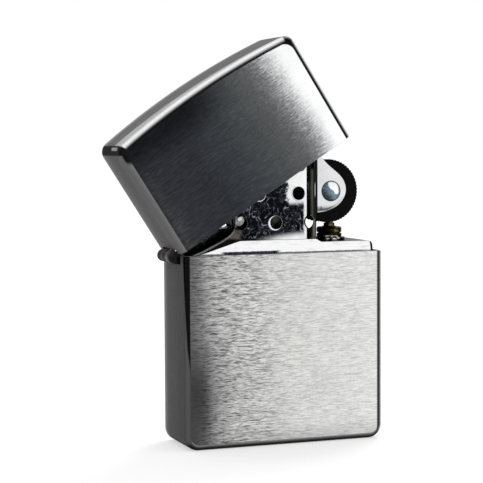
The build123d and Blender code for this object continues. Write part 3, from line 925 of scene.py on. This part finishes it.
def case_path(inset, base):
    """Down the hinge side, along the bottom at height `base` and up the far side."""
    half, corner = WIDTH / 2 - inset, BOTTOM_R - inset
    turn_z = base + corner
    flat, bottom_steps = 2 * half - 2 * corner, 8
    path = [((-half, CASE_TOP + (turn_z - CASE_TOP) * i / SIDE_STEPS), (-1, 0))
            for i in range(SIDE_STEPS)]
    path += arc(-half + corner, turn_z, corner, 180, 270)
    path += [((-half + corner + flat * i / bottom_steps, base), (0, -1))
             for i in range(1, bottom_steps)]
    path += arc(half - corner, turn_z, corner, 270, 360)
    path += [((half, turn_z + (CASE_TOP - base - corner) * i / SIDE_STEPS), (1, 0))
             for i in range(1, SIDE_STEPS + 1)]
    return path


def lid_path(inset):
    """Up the hinge side of the shut lid, over the arched top and down the far side."""
    half, crown, corner = WIDTH / 2 - inset, CROWN_R - inset, CORNER_R - inset
    start = CASE_TOP + LID_GAP
    crown_z = HEIGHT - CROWN_R
    turn_z = crown_z + math.sqrt((crown - corner) ** 2 - (half - corner) ** 2)
    meet = math.degrees(math.atan2(turn_z - crown_z, half - corner))
    path = [((-half, start + (turn_z - start) * i / SIDE_STEPS), (-1, 0))
            for i in range(SIDE_STEPS)]
    path += arc(-half + corner, turn_z, corner, 180, 180 - meet)
    path += arc(0, crown_z, crown, 180 - meet, meet, CROWN_STEPS)[1:-1]
    path += arc(half - corner, turn_z, corner, meet, 0)
    path += [((half, turn_z + (start - turn_z) * i / SIDE_STEPS), (1, 0))
             for i in range(1, SIDE_STEPS + 1)]
    return path


def sweep(path, inset, dome=0.0):
    """For each path point, points across the depth: front rounding, side, rear rounding.

    `dome` lowers the top towards the front and rear.
    """
    half_depth, radius = DEPTH / 2 - inset, EDGE_R - inset
    flat = half_depth - radius
    edge_steps, flat_steps = 8, 8
    rows = []
    for (x, z), (normal_x, normal_z) in path:
        front = []
        for i in range(edge_steps + 1):
            angle = math.radians(i * 90 / edge_steps)
            pull = 1 - math.sin(angle)
            front.append((x - normal_x * radius * pull,
                          -(half_depth - radius * (1 - math.cos(angle))),
                          z - normal_z * radius * pull))
        row = front + [(x, -flat + 2 * flat * k / flat_steps, z) for k in range(1, flat_steps)]
        row += [(px, -py, pz) for px, py, pz in reversed(front)]
        if dome and normal_z > 0:
            drop = dome * normal_z ** 3
            row = [(px, py, pz - drop * (min(abs(py), flat) / flat) ** 2) for px, py, pz in row]
        rows.append(row)
    return rows


FACE_SLOT, BAND_SLOT, INSIDE_SLOT = 0, 1, 2


def shell(name, outer, inner, materials):
    """Join an outer and an inner sweep into a sheet that is open along its rim."""
    rows, columns = len(outer), len(outer[0])

    def out(i, j):
        return i * columns + j

    def inn(i, j):
        return rows * columns + i * columns + j

    cells = [(i, j) for i in range(rows - 1) for j in range(columns - 1)]
    last = columns - 1
    band = [(out(i, j), out(i + 1, j), out(i + 1, j + 1), out(i, j + 1)) for i, j in cells]
    broad = [tuple(out(i, 0) for i in range(rows)),
             tuple(out(i, last) for i in reversed(range(rows)))]
    lining = [(inn(i, j), inn(i, j + 1), inn(i + 1, j + 1), inn(i + 1, j)) for i, j in cells]
    lining += [tuple(inn(i, 0) for i in reversed(range(rows))),
               tuple(inn(i, last) for i in range(rows))]
    loop = [(0, j) for j in range(columns)] + [(rows - 1, j) for j in reversed(range(columns))]
    lip = [(out(*a), out(*b), inn(*b), inn(*a)) for a, b in zip(loop, loop[1:] + loop[:1])]

    verts = [point for row in outer + inner for point in row]
    obj = add_mesh(name, verts, band + broad + lining + lip, materials)
    slots = ([BAND_SLOT] * len(band) + [FACE_SLOT] * len(broad)
             + [INSIDE_SLOT] * len(lining) + [BAND_SLOT] * len(lip))
    for poly, slot in zip(obj.data.polygons, slots):
        poly.material_index = slot
    fix_normals(obj)
    return obj


def knuckle_cutter(bottom, top, round_top=0.0):
    """Block for the notch round the hinge barrel, with its upper edges rounded if asked."""
    near, far = -WIDTH / 2 - 1, -WIDTH / 2 + WALL + 0.15
    front, rear = -KNUCKLE_HALF - 0.12, KNUCKLE_HALF + 0.12
    if round_top:
        steps, radius = 8, round_top
        angles = [math.pi / 2 * i / steps for i in range(steps + 1)]
        crown = [(front + radius - radius * math.cos(a), top - radius + radius * math.sin(a))
                 for a in angles]
        crown += [(rear - radius + radius * math.sin(a), top - radius + radius * math.cos(a))
                  for a in angles]
    else:
        crown = [(front, top), (rear, top)]
    outline = [(front, bottom)] + crown + [(rear, bottom)]
    count = len(outline)
    verts = [(near, y, z) for y, z in outline] + [(far, y, z) for y, z in outline]
    faces = [tuple(range(count)), tuple(reversed(range(count, 2 * count)))]
    faces += [(i, count + i, count + (i + 1) % count, (i + 1) % count) for i in range(count)]
    obj = add_mesh("cutter", verts, faces, smooth=False)
    fix_normals(obj)
    return obj


def cut(obj, cutter):
    """Subtract the cutter for good and remove it."""
    boolean = obj.modifiers.new("cut", "BOOLEAN")
    boolean.operation = "DIFFERENCE"
    boolean.object = cutter
    boolean.solver = "EXACT"
    graph = bpy.context.evaluated_depsgraph_get()
    mesh = bpy.data.meshes.new_from_object(obj.evaluated_get(graph))
    mesh.name = obj.data.name + "_m"
    obj.modifiers.clear()
    obj.data = mesh
    bpy.data.objects.remove(cutter)
    for poly in mesh.polygons:
        poly.use_smooth = True


def open_lid(obj):
    c, s = math.cos(LID_ANGLE), math.sin(LID_ANGLE)
    pivot_x, pivot_z = HINGE_X * MM, HINGE_Z * MM
    for vert in obj.data.vertices:
        x, z = vert.co.x - pivot_x, vert.co.z - pivot_z
        vert.co.x = pivot_x + c * x - s * z
        vert.co.z = pivot_z + s * x + c * z


def build_case():
    inner_base = WALL + 0.1
    case = shell("case_shell", sweep(case_path(0, 0), 0), sweep(case_path(WALL, inner_base), WALL),
                 [CASE_FACE, CASE_BAND, INSIDE])
    cut(case, knuckle_cutter(HINGE_Z - KNUCKLE_R - 0.08, CASE_TOP + 1))
    finish_edges(case)
    register(case, "case", "case_metal", "case_body")


def build_lid():
    dome = 0.04
    lid = shell("lid_shell", sweep(lid_path(0), 0, dome), sweep(lid_path(WALL), WALL, dome),
                [LID_FACE, LID_BAND, INSIDE])
    cut(lid, knuckle_cutter(CASE_TOP - 1, HINGE_Z + KNUCKLE_R + 0.12, round_top=0.5))
    open_lid(lid)
    finish_edges(lid)
    register(lid, "lid", "case_metal", "case_lid")


build_case()
build_lid()


# ---------------------------------------------------------------- CAD pieces with broken edges
def refine(node, material, body, slot, width, angle, segments=2):
    """Copy a CAD piece, weld it, merge its flat faces and break its edges."""
    name = node + "_fine"
    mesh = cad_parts[node].data.copy()
    mesh.name = name
    obj = bpy.data.objects.new(name, mesh)
    bpy.context.scene.collection.objects.link(obj)
    bm = bmesh.new()
    bm.from_mesh(mesh)
    bmesh.ops.remove_doubles(bm, verts=bm.verts, dist=2e-7)
    bmesh.ops.dissolve_limit(bm, angle_limit=math.radians(1.0), verts=bm.verts, edges=bm.edges)
    bmesh.ops.recalc_face_normals(bm, faces=bm.faces)
    for face in bm.faces:
        face.smooth = True
    bm.to_mesh(mesh)
    bm.free()
    mesh.materials.clear()
    mesh.materials.append(material)
    if mesh.has_custom_normals and "custom_normal" in mesh.attributes:
        mesh.attributes.remove(mesh.attributes["custom_normal"])
    finish_edges(obj, width, angle, segments)
    register(obj, body, slot, node)


# node, material, body, slot, bevel width, least edge angle in degrees
REFINED = [
    ("chimney", CHIMNEY, "case", "insert_metal", 0.06, 35),
    ("tank_shell", TANK, "case", "insert_metal", 0.09, 35),
    ("cam_lever", CAM, "cam", "insert_metal", 0.12, 35),
    ("wheel_rivet", WHEEL_RIVET, "case", "rivet_metal", 0.03, 50),
    ("cam_rivet", CAM_PIN, "case", "rivet_metal", 0.03, 50),
    ("flint_tube_nut", NUT, "case", "brass", 0.05, 40),
    ("flint_tube", NECK, "case", "brass", 0.06, 50),
    ("hinge_leaf_lower", HINGE, "case", "hinge_metal", 0.06, 50),
    ("hinge_leaf_upper", HINGE, "lid", "hinge_metal", 0.06, 50),
    ("hinge_pin", HINGE, "case", "hinge_metal", 0.04, 50),
]
for entry in REFINED:
    refine(*entry)

# CAD pieces that only get a new material
RECOLOURED = [("cam_spring", SPRING), ("flint", FLINT), ("flint_pusher", TURNED_BRASS),
              ("flint_screw", TURNED_BRASS), ("wick_wire", COPPER)]
for node, material in RECOLOURED:
    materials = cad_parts[node].data.materials
    materials.clear()
    materials.append(material)


# ---------------------------------------------------------------- flint spring
def coil(name, centre_x, bottom, top, radius, wire, turns, material):
    """Compression spring of round wire: closed turns at both ends, open pitch between."""
    per_turn, sides = 28, 10
    closed_turns = 1.25
    closed_pitch = wire * 2.04
    pitch = ((top - bottom - wire * 2 - closed_turns * 2 * closed_pitch)
             / (turns - closed_turns * 2))
    count = int(turns * per_turn)
    verts = []
    z = bottom + wire
    for i in range(count + 1):
        turn = i / per_turn
        angle = 2 * math.pi * turn
        closed = turn < closed_turns or turn > turns - closed_turns
        step = closed_pitch if closed else pitch
        if i:
            z += step / per_turn
        c, s = math.cos(angle), math.sin(angle)
        along = Vector((-s * radius, c * radius, step / (2 * math.pi))).normalized()
        outward = Vector((c, s, 0))
        upward = along.cross(outward).normalized()
        centre = Vector((centre_x + radius * c, radius * s, z))
        verts += section(centre, outward, upward, wire, wire, sides)
    obj = add_mesh(name, verts, tube_faces(0, count, sides), [material])
    fix_normals(obj)
    return obj


spring = coil("flint_spring_fine", centre_x=FLINT_X, bottom=7.0, top=33.85, radius=0.52, wire=0.13,
              turns=24.0, material=SPRING)
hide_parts("flint_spring")
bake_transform(spring)


# ---------------------------------------------------------------- rolled rims round the air holes
HOLE_R = 1.2
WALL_Y = 5.3           # distance of the chimney walls from the middle plane
HOLES = [(-1.42, 40.0), (2.95, 45.15), (-4.6, 45.15), (-7.4, 50.3), (-1.4, 50.3), (3.2, 50.3)]


def rim(name, x, z, side, thickness=0.14, lean=0.5, toward=200.0):
    """Rim round a hole, `lean` thicker towards the angle `toward`; side is -1 front, 1 rear."""
    around, sides = 40, 10
    verts, faces = [], []
    for i in range(around):
        angle = 2 * math.pi * i / around
        swell = max(1.0 - lean + lean * math.cos(angle - math.radians(toward)), 0.12)
        for j in range(sides):
            roll = 2 * math.pi * j / sides
            radius = HOLE_R + thickness * swell * (0.55 + math.cos(roll))
            verts.append((x + radius * math.cos(angle),
                          side * WALL_Y + side * 0.06 * math.sin(roll),
                          z + radius * math.sin(angle)))
            here, there = i * sides, (i + 1) % around * sides
            k = (j + 1) % sides
            faces.append((here + j, there + j, there + k, here + k))
    obj = add_mesh(name, verts, faces, [RIM])
    fix_normals(obj)
    register(obj, "case", "insert_metal")


RIM = polished("hole_rim_steel", color=(.96, .96, .96), rough=0.22, scratch=0.1, seed=3.0, wear=0.1)
LOWEST_RIM = dict(thickness=0.24, lean=0.62, toward=205.0)
FRONT_RIM = dict(thickness=0.13, lean=0.35, toward=240.0)
for k, (hole_x, hole_z) in enumerate(HOLES):
    rim(f"hole_rim_front_{k}", hole_x, hole_z, -1, **(FRONT_RIM if k else LOWEST_RIM))
    rim(f"hole_rim_rear_{k}", hole_x, hole_z, 1)


# ---------------------------------------------------------------- striker wheel
TEETH = 60
WHEEL_STEPS = 180
# From the bore out over one toothed disc to its inner groove:
# distance from the middle plane, radius, tooth depth
WHEEL_SIDE = [
    (3.05, 0.86, 0), (3.09, 0.95, 0), (3.09, 1.9, 0), (3.03, 1.99, 0), (2.66, 2.02, 0),
    (2.6, 2.12, 0), (2.6, 2.2, 0), (2.6, 5.0, 0), (2.6, 5.05, 0), (2.57, 5.4, 0),
    (2.5, WHEEL_R - 0.14, 0.12), (2.36, WHEEL_R, 0.13), (1.62, WHEEL_R, 0.13),
    (1.55, WHEEL_R - 0.3, 0), (1.53, WHEEL_R - 0.45, 0), (1.37, WHEEL_R - 0.45, 0),
    (1.35, WHEEL_R - 0.3, 0),
]


def wave(phase):
    return 0.5 + 0.5 * math.cos(phase)


def wheel_ring(y, radius_at):
    ring = []
    for i in range(WHEEL_STEPS):
        angle = 2 * math.pi * i / WHEEL_STEPS
        radius = radius_at(angle)
        ring.append((WHEEL_X + radius * math.cos(angle), y, WHEEL_Z + radius * math.sin(angle)))
    return ring


def disc_ring(y, radius, tooth):
    return wheel_ring(y, lambda angle: radius - tooth * wave(angle * TEETH))


def file_ring(y):
    """Crossed file cuts that slant over the width."""
    slant = y * 4.4
    return wheel_ring(y, lambda angle: (WHEEL_R - 0.12 - 0.11 * wave(angle * TEETH + slant)
                                        - 0.05 * wave(angle * TEETH - slant)))


def build_wheel():
    """A file-cut rim between two toothed discs, with the bore along Y."""
    rows = [disc_ring(-y, radius, tooth) for y, radius, tooth in WHEEL_SIDE]
    y = -1.28
    while y < 1.3:
        rows.append(file_ring(y))
        y += 0.16
    rows += [disc_ring(y, radius, tooth) for y, radius, tooth in reversed(WHEEL_SIDE)]
    faces = []
    for a in range(len(rows)):
        here, there = a * WHEEL_STEPS, (a + 1) % len(rows) * WHEEL_STEPS
        for i in range(WHEEL_STEPS):
            j = (i + 1) % WHEEL_STEPS
            faces.append((here + i, here + j, there + j, there + i))
    verts = [point for row in rows for point in row]
    wheel = add_mesh("striker_wheel_fine", verts, faces, [STRIKER])
    fix_normals(wheel)
    wheel.modifiers.new("wn", "WEIGHTED_NORMAL")
    register(wheel, "wheel", "striker_steel", "striker_wheel")


build_wheel()


# ---------------------------------------------------------------- soft parts inside
def braid(name, centre_x, bottom, top, radius, strands, turns, material):
    """Braided wick: strands wind both ways, each bulging out where it crosses over."""
    segments, sides = 260, 8
    half_thick, half_wide = 0.17, 0.36
    sink, bulge = 0.32, 0.06
    verts, faces = [], []
    for way in (1, -1):
        for strand in range(strands):
            faces += tube_faces(len(verts), segments, sides)
            for i in range(segments + 1):
                share = i / segments
                angle = 2 * math.pi * strand / strands + way * 2 * math.pi * turns * share
                crossing = angle * strands / 2 + (0 if way > 0 else math.pi)
                run = radius - sink + math.sin(crossing) * bulge
                c, s = math.cos(angle), math.sin(angle)
                centre = Vector((centre_x + run * c, run * s, bottom + (top - bottom) * share))
                outward = Vector((c, s, 0))
                along = Vector((-way * s * 0.5, way * c * 0.5, 1)).normalized()
                sideways = along.cross(outward).normalized()
                verts += section(centre, outward, sideways, half_thick, half_wide, sides)
    obj = add_mesh(name, verts, faces, [material])
    fix_normals(obj)
    return obj


wick = braid("wick_braid", centre_x=WICK_X, bottom=9.0, top=47.2, radius=1.45, strands=6,
             turns=7.5, material=WICK)
register(wick, "case", "wick_cotton", "wick")


def soft_block(name, node, material, amount, seed, slot):
    """A lump of fibre: a rounded box in the node's place, pushed inwards by smooth noise."""
    low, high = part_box(node)
    low, high = np.array(low) / MM, np.array(high) / MM
    half, middle = (high - low) / 2, (high + low) / 2
    bm = bmesh.new()
    bmesh.ops.create_cube(bm, size=2.0)
    bmesh.ops.subdivide_edges(bm, edges=bm.edges, cuts=14, use_grid_fill=True)
    random = np.random.default_rng(seed)
    directions = random.normal(0, 1, (10, 3))
    phases = random.uniform(0, 6.28, 10)
    roundness = 6.0
    for vert in bm.verts:
        point = np.array(vert.co)
        rounded = point / (np.sum(np.abs(point) ** roundness) ** (1 / roundness))
        swell = sum(math.sin(2.2 * float(direction @ point) + phase)
                    for direction, phase in zip(directions, phases)) / 5
        rounded = rounded * (1 - amount * (0.5 + 0.5 * swell))
        vert.co = Vector((middle + rounded * half) * MM)
    for face in bm.faces:
        face.smooth = True
    mesh = bpy.data.meshes.new(name)
    bm.to_mesh(mesh)
    bm.free()
    mesh.materials.append(material)
    obj = bpy.data.objects.new(name, mesh)
    bpy.context.scene.collection.objects.link(obj)
    register(obj, "case", slot, node)


for i in range(5):
    soft_block(f"packing_{i + 1}", f"cotton_ball_{i + 1}", COTTON, amount=0.10, seed=20 + i,
               slot="packing")
refine("felt_pad", FELT, "case", "felt", width=0.3, angle=50, segments=3)


# ---------------------------------------------------------------- floor
def build_floor():
    """A pale floor that reflections don't show."""
    half = 3000
    corners = [(-half, -half, 0), (half, -half, 0), (half, half, 0), (-half, half, 0)]
    floor = add_mesh("floor", corners, [(0, 1, 2, 3)], smooth=False)
    mat = Material("floor_pale")
    mottle = mat.source("ShaderNodeTexCoord", "Object").noise(stretch=(30, 30, 30))
    floor.data.materials.append(mat.surface(
        mat.mix(mottle, .50, .51), metal=0.0, rough=0.9, specular=0.0,
        glow=(1, 1, 1, 1), glow_strength=0.52))
    floor.visible_glossy = False
    floor.location.z = -0.02 * MM


# ---------------------------------------------------------------- world
def window(signal, start, end, soft_start, soft_end):
    """1 between start and end, with soft ends."""
    return (signal.fade(start - soft_start, start + soft_start)
            * signal.fade(end + soft_end, end - soft_end))


def build_world():
    """Even white light, but reflections see soft boxes. Angles are in degrees."""
    world = bpy.data.worlds.new("studio")
    bpy.context.scene.world = world
    world.use_nodes = True
    sky = Graph(world.node_tree)
    output = sky.new("ShaderNodeOutputWorld")
    x, y, z = sky.source("ShaderNodeTexCoord", "Generated").split()
    bearing = x.math("ARCTAN2", y * -1.0).math("DEGREES")      # 0 in front, + towards +X
    elevation = z.math("ARCSINE").math("DEGREES")
    overhead = z.math("ARCTAN2", y).math("DEGREES")            # 0 behind, 90 up, 180 in front

    front = window(bearing, 3, 68, 4, 5) * window(elevation, -52, 11, 5, 3)
    above = window(overhead, 38, 104, 7, 5) * window(x, -0.9, 0.9, 0.08, 0.08)
    gap = window(overhead, 62, 66, 1.5, 1.5)
    behind = y.fade(0.3, 0.6) * window(elevation, -45, 38, 8, 8)
    hinge_side = window(bearing, -88, 6, 6, 5) * window(elevation, -52, 20, 6, 6)
    seen = front * 1.0
    seen = seen.max(hinge_side * 0.5)
    seen = seen.max(above * (1.1 - gap * 0.55))
    seen = seen.max(behind * x.fade(0.18, 0.42, to=(0.135, 0.45)))
    seen = seen.max(0.02)

    glossy = sky.source("ShaderNodeLightPath", "Is Glossy Ray")
    background = sky.new("ShaderNodeBackground")
    sky.put(background.inputs["Strength"], glossy * seen + (1.0 - glossy) * 1.0)
    background.inputs["Color"].default_value = (1, 1, 1, 1)
    sky.tree.links.new(background.outputs[0], output.inputs[0])


# ---------------------------------------------------------------- camera and key light
CAMERA_AT = (-105.38755, -270.22614, 55.14274)
CAMERA_YAW, CAMERA_PITCH, CAMERA_ROLL = 0.35224, 0.064930, -0.005450     # radians
CAMERA_LENS = 118.87815205


def build_camera():
    data = bpy.data.cameras.new("camera")
    camera = bpy.data.objects.new("camera", data)
    bpy.context.scene.collection.objects.link(camera)
    yaw, pitch, roll = CAMERA_YAW, CAMERA_PITCH, CAMERA_ROLL
    backward = Vector((-math.sin(yaw) * math.cos(pitch), -math.cos(yaw) * math.cos(pitch),
                       math.sin(pitch)))
    level = Vector((math.cos(yaw), -math.sin(yaw), 0))
    upright = backward.cross(level)
    right = level * math.cos(roll) + upright * math.sin(roll)
    up = -level * math.sin(roll) + upright * math.cos(roll)
    rows = [(right[i], up[i], backward[i], CAMERA_AT[i] * MM) for i in range(3)]
    camera.matrix_world = Matrix((*rows, (0, 0, 0, 1)))
    data.sensor_width = 36
    data.lens = CAMERA_LENS
    data.clip_start = 0.01
    data.clip_end = 20
    bpy.context.scene.camera = camera
    bpy.context.scene.view_settings.view_transform = "Standard"


def build_key_light():
    """Disc light above, behind and beyond the far side; sizes and places in metres."""
    data = bpy.data.lights.new("key", "AREA")
    data.shape = "DISK"
    data.size = 0.25
    data.energy = 1.2
    key = bpy.data.objects.new("key", data)
    bpy.context.scene.collection.objects.link(key)
    key.location = (0.25, 0.25, 0.5)
    key.rotation_mode = "QUATERNION"
    key.rotation_quaternion = Vector((-0.25, -0.25, -0.45)).to_track_quat("-Z", "Y")
    key.visible_glossy = False


build_floor()
build_world()
build_camera()
build_key_light()
